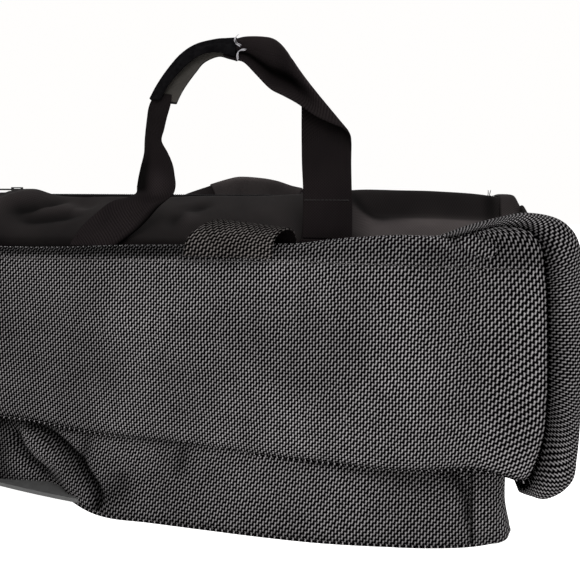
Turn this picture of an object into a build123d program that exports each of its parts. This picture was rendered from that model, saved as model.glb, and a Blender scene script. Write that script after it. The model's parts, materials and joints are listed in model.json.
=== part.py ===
from build123d import *
import os
from math import atan2, degrees

# Soft carry bag with a zipped top, a bellows pocket on its front and two webbing handles.
# Millimetres. +X runs along the bag, -Y is the front, +Z is up.
# The origin is on the floor, in the middle of the bag between its two ends and its two walls.

# ---- Driving dimensions ----
BASE_HALF_LENGTH = 200.0     # bag at the floor, from the middle to one end
TOP_HALF_LENGTH = 205.0      # bag at its top edge
CORNER_RADIUS = 14.0         # rounded upright edges
BACK_Y = 70.0                # back wall
BASE_FRONT_Y = -64.0         # front wall at the floor, at the two ends
BASE_BULGE = 28.0            # how far the front wall bulges at the floor, in the middle
SEAM_FRONT_Y = -58.0         # front wall at the height of the pocket's bottom seam
RIM_FRONT_Y = -46.0          # front wall at its top edge
SEAM_Z = 50.0                # pocket's bottom seam
FRONT_RIM_Z = 184.0          # top edge of the front wall
RIDGE_Z = 212.0              # flat strip that carries the zipper
RIDGE_FRONT_Y = 2.0
RIDGE_BACK_Y = 18.0
BACK_RIM_Z = 206.0           # top edge of the back wall
END_SEAM_X = 175.0           # upright seams between the walls and the end panels

FABRIC = 1.6                 # coarse coated nylon
GUSSET = 1.2                 # finer nylon of the top
GAP = 0.2                    # air between neighbouring soft layers
TRIM_HEIGHT = 240.0          # taller than every wall, for cutting blocks

BOARD_THICKNESS = 3.0
BOARD_INSET = 6.0
BINDING_WIDTH = 10.0
BINDING_THICKNESS = 2.0

# Pocket: its front panel in plan, and the height of its top edge, both from left to right.
POCKET_PLAN = [(-214, -74), (-150, -63), (-60, -61), (20, -63), (90, -70), (150, -80), (205, -91)]
POCKET_TOP = [(-214, 190), (-160, 182), (-60, 184), (20, 182), (100, 192), (165, 199), (205, 206)]
POCKET_LEFT_X = POCKET_PLAN[0][0]
POCKET_RIGHT_X = POCKET_PLAN[-1][0]
POCKET_LEFT_Y = POCKET_PLAN[0][1]
POCKET_RIGHT_Y = POCKET_PLAN[-1][1]
WING_REACH = 229.0           # outermost point of both end gussets
WING_ROOT = (207.0, -40.0)   # where an end gusset meets the bag's end
WING_BOTTOM_Z = 44.0
WING_TOP_LEFT_Z = 188.0
WING_TOP_RIGHT_Z = 202.0
HEM_WIDTH = 20.0
HEM_THICKNESS = 1.2
CLOSURE_LENGTH = 100.0       # hook and loop strips
CLOSURE_WIDTH = 20.0
CLOSURE_THICKNESS = 1.6
LOOP_STRIP_Z = 160.0

# Loop tab: a bridge of coarse webbing from the pocket's hem to the top edge of the bag.
TAB_LEFT_X = -14.0
TAB_RIGHT_X = 50.0
TAB_THICKNESS = 2.0
TAB_FOOT_Z = 172.0
TAB_FRONT_Y = -69.0
TAB_BACK_Y = -43.0
TAB_SHOULDER_Z = 187.5

# Handles: one strap of webbing each, flat in the plane of its arch, folded narrow at the grip.
# Both edges of the front strap run from its right foot, over the top, to its left foot.
WEBBING_WIDTH = 32.0
WEBBING_THICKNESS = 1.8
RIGHT_FOOT_X = 77.0          # middle of the upright leg
LEFT_FOOT_X = -72.0          # middle of the leg that leans inwards
HINGE_CLEARANCE = 1.4        # bare stretch each side of the hinge line
ARCH_OUTER = [(92, 60), (63, 103), (24, 131), (-20, 127), (-47, 93), (-50, 48), (-70, 20)]
ARCH_INNER = [(60, 60), (38, 95), (14, 116), (-13, 115), (-31, 90), (-28, 48), (-39, 20)]
GRIP_THICKNESS = 6.0
GRIP_MARGIN = 1.6            # sleeve wall beyond the webbing's edges
GRIP_RIGHT_X = 12.0          # ends of the sleeve around the arch
GRIP_LEFT_HEIGHT = 96.0
TACK = (3.0, 1.0, 14.0)
STRAP_END_LENGTH = 70.0
FRONT_HINGE_Z = 187.0
REAR_HINGE_Z = 209.0
FRONT_LEAN = 12.0            # the front handle stands almost upright
REAR_LEAN = 82.0             # the rear handle lies back

# Zipper
ZIP_HALF_LENGTH = 185.0
ZIP_Y = (RIDGE_FRONT_Y + RIDGE_BACK_Y) / 2
TAPE_THICKNESS = 0.8
TAPE_WIDTH = 14.0
TAPE_SPLIT = 0.8             # from the zipper's middle to the edge of each tape
COIL = (2.1, 1.7)            # width and height of one side of the coil
COIL_SPLIT = 0.7
STOP = (1.8, 6.2, 2.0)
END_TAB = (15.0, 22.0, 1.6)
END_TAB_X = 195.5
SLIDER_X = -178.0            # closed end of the travel
SLIDER_LENGTH = 12.0
SLIDER_WIDTH = 10.0
SLIDER_PLATE = 1.2
SLIDER_NECK = 0.8
SLIDER_CLEARANCE = 1.1       # between a plate and the tape or coil
BAIL = (9.0, 2.4, 3.0)       # arch on top of the slider: length, width, height
BAIL_BAR = 0.8
PULL = (27.0, 8.0, 1.2)      # length, width, thickness
PULL_SLOT = (4.6, 4.4)       # the bail passes through this slot

os.makedirs("parts", exist_ok=True)
nodes = {}


def block(x_low, x_high, y_low, y_high, z_low, z_high):
    """A box given by its two corners."""
    middle = ((x_low + x_high) / 2, (y_low + y_high) / 2, (z_low + z_high) / 2)
    return Pos(*middle) * Box(x_high - x_low, y_high - y_low, z_high - z_low)


def outline(z, half_length, front_y, bulge, inset=0.0):
    """Plan of the bag at one height: straight back and ends, bulging front, rounded corners."""
    half = half_length - inset
    front = front_y + inset
    back = BACK_Y - inset
    radius = CORNER_RADIUS - inset
    turn = radius * (1 - 0.5 ** 0.5)
    flat = half - radius
    edges = [
        Line((-flat, back), (flat, back)),
        ThreePointArc((flat, back), (half - turn, back - turn), (half, back - radius)),
        Line((half, back - radius), (half, front + radius)),
        ThreePointArc((half, front + radius), (half - turn, front + turn), (flat, front)),
        ThreePointArc((flat, front), (0, front - bulge), (-flat, front)),
        ThreePointArc((-flat, front), (turn - half, front + turn), (-half, front + radius)),
        Line((-half, front + radius), (-half, back - radius)),
        ThreePointArc((-half, back - radius), (turn - half, back - turn), (-flat, back)),
    ]
    return Pos(0, 0, z) * make_face(edges)


def bag_solid(inset):
    """The bag's outer form, or its inner form when inset by the fabric."""
    slope = (RIM_FRONT_Y - SEAM_FRONT_Y) / (FRONT_RIM_Z - SEAM_Z)
    lid_front_y = RIM_FRONT_Y + slope * (TRIM_HEIGHT - FRONT_RIM_Z)
    seam_half_length = BASE_HALF_LENGTH + (TOP_HALF_LENGTH - BASE_HALF_LENGTH) / 4
    base = outline(0, BASE_HALF_LENGTH, BASE_FRONT_Y, BASE_BULGE, inset)
    seam = outline(SEAM_Z, seam_half_length, SEAM_FRONT_Y, GAP, inset)
    lid = outline(TRIM_HEIGHT, TOP_HALF_LENGTH, lid_front_y, GAP, inset)
    return loft([base, seam]) + loft([seam, lid])


def roof_z(y):
    """Height of the bag's top edge at one depth: up to the zipper's flat strip, then down."""
    if y < RIDGE_FRONT_Y:
        share = (y - RIM_FRONT_Y) / (RIDGE_FRONT_Y - RIM_FRONT_Y)
        return FRONT_RIM_Z + share * (RIDGE_Z - FRONT_RIM_Z)
    if y > RIDGE_BACK_Y:
        share = (y - RIDGE_BACK_Y) / (BACK_Y - RIDGE_BACK_Y)
        return RIDGE_Z + share * (BACK_RIM_Z - RIDGE_Z)
    return RIDGE_Z


def roof_strip(y_low, y_high, low, high, half_length):
    """A layer along the bag that follows the roof, between two heights measured from it."""
    kinks = [y for y in (RIDGE_FRONT_Y, RIDGE_BACK_Y) if y_low < y < y_high]
    depths = [y_low, *kinks, y_high]
    upper = [(y, roof_z(y) + high) for y in depths]
    lower = [(y, roof_z(y) + low) for y in reversed(depths)]
    section = make_face(Polyline(*upper, *lower, close=True))
    return extrude(Plane.YZ * section, half_length, both=True)


def make_walls():
    shell = bag_solid(0) - bag_solid(FABRIC)
    under_roof = roof_strip(RIM_FRONT_Y - 60, BACK_Y + 5, -TRIM_HEIGHT, 0, WING_REACH)
    shell = shell & under_roof & block(-WING_REACH, WING_REACH, -130, BACK_Y + 5, FABRIC, TRIM_HEIGHT)
    middle = block(-END_SEAM_X, END_SEAM_X, -130, 0, 0, TRIM_HEIGHT)
    nodes["front_panel"] = shell & middle
    nodes["back_panel"] = shell & block(-END_SEAM_X, END_SEAM_X, 0, BACK_Y + 5, 0, TRIM_HEIGHT)
    for side, sign in (("left", -1), ("right", 1)):
        near, far = sorted((sign * END_SEAM_X, sign * WING_REACH))
        nodes[f"end_panel_{side}"] = shell & block(near, far, -130, BACK_Y + 5, 0, TRIM_HEIGHT)
    floor = outline(0, BASE_HALF_LENGTH, BASE_FRONT_Y, BASE_BULGE)
    nodes["bottom_panel"] = extrude(floor, FABRIC)


def make_inside():
    low = FABRIC + GAP
    inner = (BASE_HALF_LENGTH, BASE_FRONT_Y + 2, BASE_BULGE - 6)
    board = outline(low, *inner, inset=BOARD_INSET)
    nodes["base_board"] = extrude(board, BOARD_THICKNESS)
    ring_outer = outline(low, *inner, inset=FABRIC + GAP)
    ring_inner = outline(low, *inner, inset=FABRIC + GAP + BINDING_THICKNESS)
    nodes["base_binding"] = extrude(ring_outer - ring_inner, BINDING_WIDTH)
    slope = degrees(atan2(RIM_FRONT_Y - SEAM_FRONT_Y, FRONT_RIM_Z - SEAM_Z))
    for side, sign in (("left", -1), ("right", 1)):
        near = sign * END_SEAM_X - BINDING_WIDTH / 2
        upright = block(
            near, near + BINDING_WIDTH, FABRIC + GAP, FABRIC + GAP + BINDING_THICKNESS,
            -FRONT_RIM_Z + SEAM_Z + 12, -6)
        hung = Pos(0, RIM_FRONT_Y + GAP, FRONT_RIM_Z) * Rot(-slope, 0, 0) * upright
        nodes[f"seam_binding_front_{side}"] = hung
        back_face = BACK_Y - FABRIC - GAP
        nodes[f"seam_binding_back_{side}"] = block(
            near, near + BINDING_WIDTH, back_face - BINDING_THICKNESS, back_face,
            BINDING_WIDTH + 4, BACK_RIM_Z - 4)


def make_top():
    over = outline(0, TOP_HALF_LENGTH - 0.5, RIM_FRONT_Y, GAP)
    prism = extrude(over, TRIM_HEIGHT)
    front = roof_strip(RIM_FRONT_Y - 1, RIDGE_FRONT_Y + 2, 0, GUSSET, WING_REACH)
    back = roof_strip(RIDGE_BACK_Y - 2, BACK_Y, 0, GUSSET, WING_REACH)
    nodes["top_gusset_front"] = front & prism
    nodes["top_gusset_back"] = back & prism


def make_zipper():
    tape_low = -TAPE_THICKNESS - 0.05
    tape_front = ZIP_Y - TAPE_SPLIT
    tape_back = ZIP_Y + TAPE_SPLIT
    nodes["zipper_tape_front"] = roof_strip(
        tape_front - TAPE_WIDTH, tape_front, tape_low, -0.05, ZIP_HALF_LENGTH + 4)
    nodes["zipper_tape_back"] = roof_strip(
        tape_back, tape_back + TAPE_WIDTH, tape_low, -0.05, ZIP_HALF_LENGTH + 4)
    width, height = COIL
    for side, sign in (("front", -1), ("back", 1)):
        near, far = sorted((ZIP_Y + sign * COIL_SPLIT, ZIP_Y + sign * (COIL_SPLIT + width)))
        bar = block(-ZIP_HALF_LENGTH, ZIP_HALF_LENGTH, near, far, RIDGE_Z, RIDGE_Z + height)
        nodes[f"zipper_coil_{side}"] = fillet(bar.edges().filter_by(Axis.X), 0.5)
    for side, sign in (("left", -1), ("right", 1)):
        stop = Box(*STOP, align=(Align.CENTER, Align.CENTER, Align.MIN))
        stop = fillet(stop.edges().filter_by(Axis.Z), 0.5)
        nodes[f"zipper_stop_{side}"] = Pos(sign * (ZIP_HALF_LENGTH + 1.2), ZIP_Y, RIDGE_Z + 0.1) * stop
        tab = Box(*END_TAB, align=(Align.CENTER, Align.CENTER, Align.MIN))
        tab = fillet(tab.edges().filter_by(Axis.Z), 2)
        nodes[f"zipper_end_tab_{side}"] = Pos(sign * END_TAB_X, ZIP_Y, RIDGE_Z + GUSSET) * tab


def make_slider():
    width, height = COIL
    upper_low = RIDGE_Z + height + SLIDER_CLEARANCE
    lower_high = RIDGE_Z - TAPE_THICKNESS - SLIDER_CLEARANCE
    plate = Box(SLIDER_LENGTH, SLIDER_WIDTH, SLIDER_PLATE, align=(Align.CENTER, Align.CENTER, Align.MIN))
    plate = fillet(plate.edges().filter_by(Axis.Z), 3)
    upper = Pos(0, 0, upper_low) * plate
    lower = Pos(0, 0, lower_high - SLIDER_PLATE) * plate
    neck = block(1, 5, -SLIDER_NECK / 2, SLIDER_NECK / 2, lower_high - 0.2, upper_low + 0.2)
    place = Pos(SLIDER_X, ZIP_Y, 0)
    nodes["slider_body"] = place * (upper + lower + neck)

    length, breadth, rise = BAIL
    bail_low = upper_low + SLIDER_PLATE
    arch = block(-length / 2, length / 2, -breadth / 2, breadth / 2, bail_low, bail_low + rise)
    window = block(
        -length / 2 + BAIL_BAR, length / 2 - BAIL_BAR, -breadth, breadth, bail_low - 1, bail_low + rise - BAIL_BAR)
    nodes["slider_bail"] = place * (arch - window)

    pull_length, pull_width, pull_thickness = PULL
    slot_length, slot_width = PULL_SLOT
    axis_z = bail_low + 1.2
    flat = Pos(-pull_length / 2 + 0.6, 0, 0) * Box(pull_length, pull_width, pull_thickness)
    flat = fillet(flat.edges().filter_by(Axis.Z), 0.55)
    slot = Pos(-0.6 - slot_length / 2, 0, 0) * Box(slot_length, slot_width, 4)
    hole = Pos(-pull_length + 5, 0, 0) * Cylinder(1.5, 4)
    nodes["pull_plate"] = Pos(SLIDER_X, ZIP_Y, axis_z) * (flat - slot - hole)


def pocket_layer(outer, inner):
    """Plan strip that follows the pocket's front panel, between two depths behind its face."""
    front = Spline(*[(x, y + outer) for x, y in POCKET_PLAN])
    back = Spline(*[(x, y + inner) for x, y in POCKET_PLAN])
    left = Line(front @ 0, back @ 0)
    right = Line(front @ 1, back @ 1)
    return make_face([front, right, back, left])


def below_pocket_edge(drop):
    """Everything lower than the pocket's top edge, moved down by drop."""
    edge = Spline(*[(x, z - drop) for x, z in POCKET_TOP])
    ends = Polyline(edge @ 1, (POCKET_RIGHT_X, 0), (POCKET_LEFT_X, 0), edge @ 0)
    return extrude(Plane.XZ * make_face([edge, ends]), 130, both=True)


def make_wing(side, start, top_z):
    """Bulging end gusset of the pocket, from its front panel round to the bag's end."""
    sign = 1 if side == "right" else -1
    root = (sign * WING_ROOT[0], WING_ROOT[1])
    stations = [Vector(*start), Vector(sign * WING_REACH, (start[1] + root[1]) / 2), Vector(*root)]
    outer = ThreePointArc(*stations)
    centre = outer.arc_center
    inner = ThreePointArc(*[spot + (centre - spot).normalized() * FABRIC for spot in stations])
    band = make_face([outer, Line(outer @ 0, inner @ 0), inner, Line(outer @ 1, inner @ 1)])
    nodes[f"pocket_gusset_{side}"] = Pos(0, 0, WING_BOTTOM_Z) * extrude(band, top_z - WING_BOTTOM_Z)


def make_pocket():
    tall = extrude(pocket_layer(0, FABRIC), TRIM_HEIGHT)
    above_seam = block(-WING_REACH, WING_REACH, -130, 0, SEAM_Z, TRIM_HEIGHT)
    nodes["pocket_panel"] = tall & above_seam & below_pocket_edge(0)

    facing = extrude(pocket_layer(FABRIC, FABRIC + HEM_THICKNESS), TRIM_HEIGHT)
    nodes["pocket_hem"] = (facing & below_pocket_edge(0)) - below_pocket_edge(HEM_WIDTH)

    left, right = POCKET_LEFT_X, POCKET_RIGHT_X
    back = SEAM_FRONT_Y - 2 * GAP
    rim = Spline(*[(x, y + FABRIC) for x, y in POCKET_PLAN])
    shelf = make_face([rim, Polyline(rim @ 1, (right, back), (left, back), rim @ 0)])
    nodes["pocket_bottom_gusset"] = Pos(0, 0, SEAM_Z) * extrude(shelf, FABRIC)

    shift = FABRIC + 2 * GAP
    make_wing("right", (right + shift, POCKET_RIGHT_Y), WING_TOP_RIGHT_Z)
    make_wing("left", (left - shift, POCKET_LEFT_Y), WING_TOP_LEFT_Z)

    half = CLOSURE_LENGTH / 2
    hook = extrude(pocket_layer(FABRIC + HEM_THICKNESS, FABRIC + HEM_THICKNESS + CLOSURE_THICKNESS), TRIM_HEIGHT)
    low = LOOP_STRIP_Z
    nodes["hook_strip"] = hook & block(-half, half, -130, 0, low, low + CLOSURE_WIDTH)
    nodes["loop_strip"] = on_front_wall(-half, half, low - FRONT_RIM_Z, low + CLOSURE_WIDTH - FRONT_RIM_Z,
                                        CLOSURE_THICKNESS)


def on_front_wall(x_low, x_high, down, up, thickness):
    """A flat layer on the sloping front wall, its heights measured from the wall's top edge."""
    slope = degrees(atan2(RIM_FRONT_Y - SEAM_FRONT_Y, FRONT_RIM_Z - SEAM_Z))
    layer = block(x_low, x_high, -thickness - 2 * GAP, -2 * GAP, down, up)
    return Pos(0, RIM_FRONT_Y, FRONT_RIM_Z) * Rot(-slope, 0, 0) * layer


def make_loop_tab():
    def bridge(shrink):
        """Section of the tab: two upright legs under a round crown."""
        front, back = TAB_FRONT_Y + shrink, TAB_BACK_Y - shrink
        crown = TAB_SHOULDER_Z + (TAB_BACK_Y - TAB_FRONT_Y) / 2 - shrink
        arc = ThreePointArc((front, TAB_SHOULDER_Z), ((front + back) / 2, crown), (back, TAB_SHOULDER_Z))
        foot = TAB_FOOT_Z - shrink
        legs = Polyline((back, TAB_SHOULDER_Z), (back, foot), (front, foot), (front, TAB_SHOULDER_Z))
        return Plane.YZ * make_face([arc, legs])

    ring = bridge(0) - bridge(TAB_THICKNESS)
    length = TAB_RIGHT_X - TAB_LEFT_X
    tab = Pos(TAB_LEFT_X, 0, 0) * extrude(ring, length)
    behind = block(-WING_REACH, WING_REACH, TAB_BACK_Y - TAB_THICKNESS - 1, 0, 0, TAB_SHOULDER_Z)
    nodes["loop_tab"] = tab - behind


def arch_face(grow):
    """Flat arch of webbing in its own plane, heights measured from the hinge line."""
    def edge(points, side):
        half = side * (WEBBING_WIDTH / 2 + grow)
        right = (RIGHT_FOOT_X + half, HINGE_CLEARANCE)
        left = (LEFT_FOOT_X - half, HINGE_CLEARANCE)
        crown = [Vector(*spot) for spot in points]
        middle = Vector(sum(spot.X for spot in crown) / len(crown), 0)
        grown = [spot + (spot - middle).normalized() * side * grow for spot in crown]
        return Spline(right, *grown, left)

    outer = edge(ARCH_OUTER, 1)
    inner = edge(ARCH_INNER, -1)
    return make_face([outer, Line(outer @ 0, inner @ 0), inner, Line(outer @ 1, inner @ 1)])


def make_handle(name, hinge_y, hinge_z, lean, facing):
    """Facing is 1 for the front handle and -1 for the rear one, which is turned half round."""
    place = Pos(0, hinge_y, hinge_z) * Rot(-lean, 0, 0)
    turn = Rot(0, 0, 0 if facing == 1 else 180)
    strap = turn * extrude(Plane.XZ * arch_face(0), WEBBING_THICKNESS / 2, both=True)
    sleeve = turn * extrude(Plane.XZ * arch_face(GRIP_MARGIN), GRIP_THICKNESS / 2, both=True)
    window = turn * block(-WING_REACH, GRIP_RIGHT_X, -GRIP_THICKNESS, GRIP_THICKNESS,
                          GRIP_LEFT_HEIGHT, TRIM_HEIGHT)
    nodes[f"{name}_webbing"] = place * strap
    nodes[f"{name}_grip"] = place * ((sleeve & window) - strap)
    tack_y = -WEBBING_THICKNESS / 2 - TACK[1] / 2
    spots = {
        "inner": Pos(GRIP_RIGHT_X + 3, tack_y, (ARCH_OUTER[2][1] + ARCH_INNER[2][1]) / 2),
        "outer": Pos((ARCH_OUTER[4][0] + ARCH_INNER[4][0]) / 2, tack_y, GRIP_LEFT_HEIGHT - 4) * Rot(0, 90, 0),
    }
    for side, spot in spots.items():
        nodes[f"{name}_tack_{side}"] = place * turn * spot * Box(*TACK)


def make_strap_ends():
    """Sewn lower ends of both handles, flat on the outside of the walls."""
    lift = FRONT_HINGE_Z - HINGE_CLEARANCE - FRONT_RIM_Z
    top = REAR_HINGE_Z - HINGE_CLEARANCE
    half = WEBBING_WIDTH / 2
    for side, foot in (("left", LEFT_FOOT_X), ("right", RIGHT_FOOT_X)):
        nodes[f"front_strap_end_{side}"] = on_front_wall(
            foot - half, foot + half, lift - STRAP_END_LENGTH, lift, WEBBING_THICKNESS)
        nodes[f"rear_strap_end_{side}"] = block(
            -foot - half, -foot + half, BACK_Y + GAP, BACK_Y + GAP + WEBBING_THICKNESS,
            top - STRAP_END_LENGTH, top)


make_walls()
make_inside()
make_top()
make_zipper()
make_slider()
make_pocket()
make_loop_tab()
make_strap_ends()
strap_offset = GAP + WEBBING_THICKNESS / 2
make_handle("front", RIM_FRONT_Y - strap_offset - GAP, FRONT_HINGE_Z, FRONT_LEAN, 1)
make_handle("rear", BACK_Y + strap_offset, REAR_HINGE_Z, REAR_LEAN, -1)

for node_name, shape in nodes.items():
    export_step(shape, f"parts/{node_name}.step")
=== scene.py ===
import json
import math

import bpy
import numpy as np
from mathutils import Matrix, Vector, noise


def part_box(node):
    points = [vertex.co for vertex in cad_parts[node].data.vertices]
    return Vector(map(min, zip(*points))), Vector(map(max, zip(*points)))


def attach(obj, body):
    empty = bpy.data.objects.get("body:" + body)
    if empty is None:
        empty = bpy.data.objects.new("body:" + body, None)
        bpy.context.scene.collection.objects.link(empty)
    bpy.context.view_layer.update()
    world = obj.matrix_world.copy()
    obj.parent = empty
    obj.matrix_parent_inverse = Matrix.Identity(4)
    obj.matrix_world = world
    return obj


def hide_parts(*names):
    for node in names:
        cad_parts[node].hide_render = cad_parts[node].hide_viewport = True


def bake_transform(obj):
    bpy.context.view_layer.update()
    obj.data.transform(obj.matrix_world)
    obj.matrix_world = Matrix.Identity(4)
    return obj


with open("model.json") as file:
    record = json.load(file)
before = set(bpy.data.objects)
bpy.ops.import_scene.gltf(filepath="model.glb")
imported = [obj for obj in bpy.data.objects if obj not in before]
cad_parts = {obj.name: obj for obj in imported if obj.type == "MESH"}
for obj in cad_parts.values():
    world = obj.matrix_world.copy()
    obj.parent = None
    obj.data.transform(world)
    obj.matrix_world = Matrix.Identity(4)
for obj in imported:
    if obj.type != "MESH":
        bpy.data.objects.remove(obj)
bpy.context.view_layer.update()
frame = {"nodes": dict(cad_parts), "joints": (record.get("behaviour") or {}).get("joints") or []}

MM = 0.001

# ---- Places read from the frame, in millimetres ----
NODES = frame["nodes"]


def corner(node, which):
    return [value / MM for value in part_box(node)[which]]


RIM_X = corner("top_gusset_front", 1)[0]
FRONT_RIM_Y = corner("top_gusset_front", 0)[1] + 0.2
FRONT_RIM_Z = corner("top_gusset_front", 0)[2]
RIDGE_Z = corner("zipper_coil_front", 0)[2]
BACK_Y = corner("back_panel", 1)[1]
BACK_RIM_Z = corner("top_gusset_back", 0)[2]
ZIP_Y = (corner("zipper_coil_front", 1)[1] + corner("zipper_coil_back", 0)[1]) / 2
ZIP_HALF = corner("zipper_coil_front", 1)[0]
END_SEAM_X = corner("front_panel", 1)[0]
BASE_X = corner("bottom_panel", 1)[0]
SEAM_Z = corner("pocket_panel", 0)[2]
POCKET_LEFT = corner("pocket_panel", 0)[0]
POCKET_RIGHT = corner("pocket_panel", 1)[0]
JOINTS = {joint["name"]: joint for joint in frame["joints"]}
FRONT_HINGE = [value / MM for value in JOINTS["front_handle_swing"]["pos_m"]]
REAR_HINGE = [value / MM for value in JOINTS["rear_handle_swing"]["pos_m"]]
FRONT_LEAN = 12.0
REAR_LEAN = 82.0
CORNER_RADIUS = 15.0

# ---- Cloth sizes ----
COARSE_PITCH = 1.95
FABRIC = 1.5
WEBBING = 1.7
STITCH = 3.0
HEM_WIDTH = 20
ZIP_GAP = 3.4              # from the zipper's middle to the edge of the top cloth
TOP_LIFT = 1.3             # of the top cloth over the walls' rim
TOP_OVERHANG = 1.5         # of the top cloth past the front wall
TOP_LIP = 0.1              # share of the top cloth that folds down over a wall
TAB_START = 186.5          # the zipper's end tab, from the bag's middle
TAB_LENGTH = 17.5
TAB_FRONT = 24
TAB_DEPTH = 40


# ---------------------------------------------------------------- small maths

def curve(points):
    """A smooth function through a few (position, value) points."""
    xs = np.array([p[0] for p in points], float)
    ys = np.array([p[1] for p in points], float)
    slopes = np.gradient(ys, xs)

    def value(x):
        x = min(max(x, xs[0]), xs[-1])
        i = min(max(int(np.searchsorted(xs, x)) - 1, 0), len(xs) - 2)
        h = xs[i + 1] - xs[i]
        t = (x - xs[i]) / h
        a = (1 + 2 * t) * (1 - t) ** 2
        b = t * (1 - t) ** 2
        c = t * t * (3 - 2 * t)
        d = t * t * (t - 1)
        return a * ys[i] + b * h * slopes[i] + c * ys[i + 1] + d * h * slopes[i + 1]

    return value


def tracks_of(rows, places=None):
    """One smooth function for each column of a table whose rows stand at the given places."""
    places = range(len(rows)) if places is None else places
    return [curve(list(zip(places, column))) for column in zip(*rows)]


def running_length(points):
    """The distance along a flat line of points, at each of them."""
    lengths = [0.0]
    for a, b in zip(points, points[1:]):
        lengths.append(lengths[-1] + math.hypot(b[0] - a[0], b[1] - a[1]))
    return lengths


def ease(low, high, x):
    t = min(max((x - low) / (high - low), 0.0), 1.0)
    return t * t * (3 - 2 * t)


def wave(x, y, size, seed):
    """Smooth noise between -1 and 1, with features about size millimetres across."""
    return noise.noise(Vector((x / size + seed, y / size - seed, seed * 1.7)))


def crease(x, y, points, width, taper=0.25):
    """1 on a line of points, falling to 0 at about width from it, thinner towards its ends."""
    best = 0.0
    total = len(points) - 1
    for i in range(total):
        ax, ay = points[i]
        bx, by = points[i + 1]
        dx, dy = bx - ax, by - ay
        t = min(max(((x - ax) * dx + (y - ay) * dy) / (dx * dx + dy * dy), 0.0), 1.0)
        gap = math.hypot(x - ax - t * dx, y - ay - t * dy)
        along = (i + t) / total
        strength = min(1.0, along / taper, (1 - along) / taper) if taper else 1.0
        best = max(best, strength * math.exp(-(gap / width) ** 2))
    return best


# ---------------------------------------------------------------- mesh building

def add_object(name, verts, faces, uvs, material, body, slot, replaces=(), thickness=0.0, levels=1,
               offset=-1.0, painted_light_and_wear=None, lining=None):
    mesh = bpy.data.meshes.new(name)
    mesh.from_pydata([Vector(v) * MM for v in verts], [], faces)
    layer = mesh.uv_layers.new(name="cloth")
    for loop in mesh.loops:
        layer.data[loop.index].uv = uvs[loop.vertex_index]
    for face in mesh.polygons:
        face.use_smooth = True
    # Painted shade and highlight, with some random tone, stored on the mesh for the cloth's colour.
    shade = mesh.attributes.new("painted_light_and_wear", "FLOAT", "POINT")
    shade.data.foreach_set("value", painted_light_and_wear if painted_light_and_wear else [1.0] * len(verts))
    obj = bpy.data.objects.new(name, mesh)
    bpy.context.scene.collection.objects.link(obj)
    obj.data.materials.append(material)
    if thickness:
        shell = obj.modifiers.new("thickness", "SOLIDIFY")
        shell.thickness = thickness * MM
        shell.offset = offset
        if lining:
            obj.data.materials.append(lining)
            shell.material_offset = 1
    if levels:
        smooth = obj.modifiers.new("smooth", "SUBSURF")
        smooth.levels = levels
        smooth.render_levels = levels
    if body:
        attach(obj, body)
    if replaces:
        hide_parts(*replaces)
    return obj


def grid(columns, rows, place):
    """Vertices, faces, cloth coordinates and painted light of a surface given by place(u, v) in millimetres.

    place gives x, y, z and may add a brightness there, mostly painted shade and highlight with some random
    tone: 1 is as usual, less is darker."""
    us = [i / columns for i in range(columns + 1)]
    vs = [j / rows for j in range(rows + 1)]
    samples = [place(u, v) for v in vs for u in us]
    painted_light_and_wear = [sample[3] if len(sample) > 3 else 1.0 for sample in samples]
    points = np.array([sample[:3] for sample in samples], float).reshape(rows + 1, columns + 1, 3)
    across = np.linalg.norm(np.diff(points[rows // 2], axis=0), axis=1)
    along = np.linalg.norm(np.diff(points[:, columns // 2], axis=0), axis=1)
    across = np.concatenate([[0], np.cumsum(across)])
    along = np.concatenate([[0], np.cumsum(along)])
    verts = points.reshape(-1, 3).tolist()
    width = columns + 1
    uvs = [(across[k % width] * MM, along[k // width] * MM) for k in range(len(verts))]
    faces = []
    for j in range(rows):
        for i in range(columns):
            low, high = j * width + i, (j + 1) * width + i
            faces.append((low, low + 1, high + 1, high))
    return verts, faces, uvs, painted_light_and_wear


def cloth(name, columns, rows, place, material, body, slot, replaces=(), thickness=FABRIC, levels=1,
          offset=-1.0, flip=False, lining=None):
    verts, faces, uvs, painted_light_and_wear = grid(columns, rows, place)
    if flip:
        faces = [tuple(reversed(face)) for face in faces]
    return add_object(name, verts, faces, uvs, material, body, slot, replaces, thickness, levels,
                      offset, painted_light_and_wear, lining)


def tube(path, radius, sides=6):
    """A closed round tube along a list of points, in millimetres, as (verts, faces)."""
    verts, faces = [], []
    path = [Vector(p) for p in path]
    for i, centre in enumerate(path):
        ahead = (path[min(i + 1, len(path) - 1)] - path[max(i - 1, 0)]).normalized()
        side = ahead.orthogonal().normalized()
        up = ahead.cross(side)
        for k in range(sides):
            angle = 2 * math.pi * k / sides
            verts.append(centre + radius * (math.cos(angle) * side + math.sin(angle) * up))
    for i in range(len(path) - 1):
        for k in range(sides):
            a, b = i * sides + k, i * sides + (k + 1) % sides
            faces.append((a, b, b + sides, a + sides))
    faces.append(tuple(reversed(range(sides))))
    last = (len(path) - 1) * sides
    faces.append(tuple(range(last, last + sides)))
    return verts, faces


def join_shapes(name, shapes, material, body, slot, replaces=(), levels=0):
    """One object from many small (verts, faces) shapes."""
    verts, faces = [], []
    for shape_verts, shape_faces in shapes:
        start = len(verts)
        verts.extend(tuple(v) for v in shape_verts)
        faces.extend(tuple(start + i for i in face) for face in shape_faces)
    uvs = [(v[0] * MM, (v[1] + v[2]) * MM) for v in verts]
    return add_object(name, verts, faces, uvs, material, body, slot, replaces, 0.0, levels)


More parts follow.
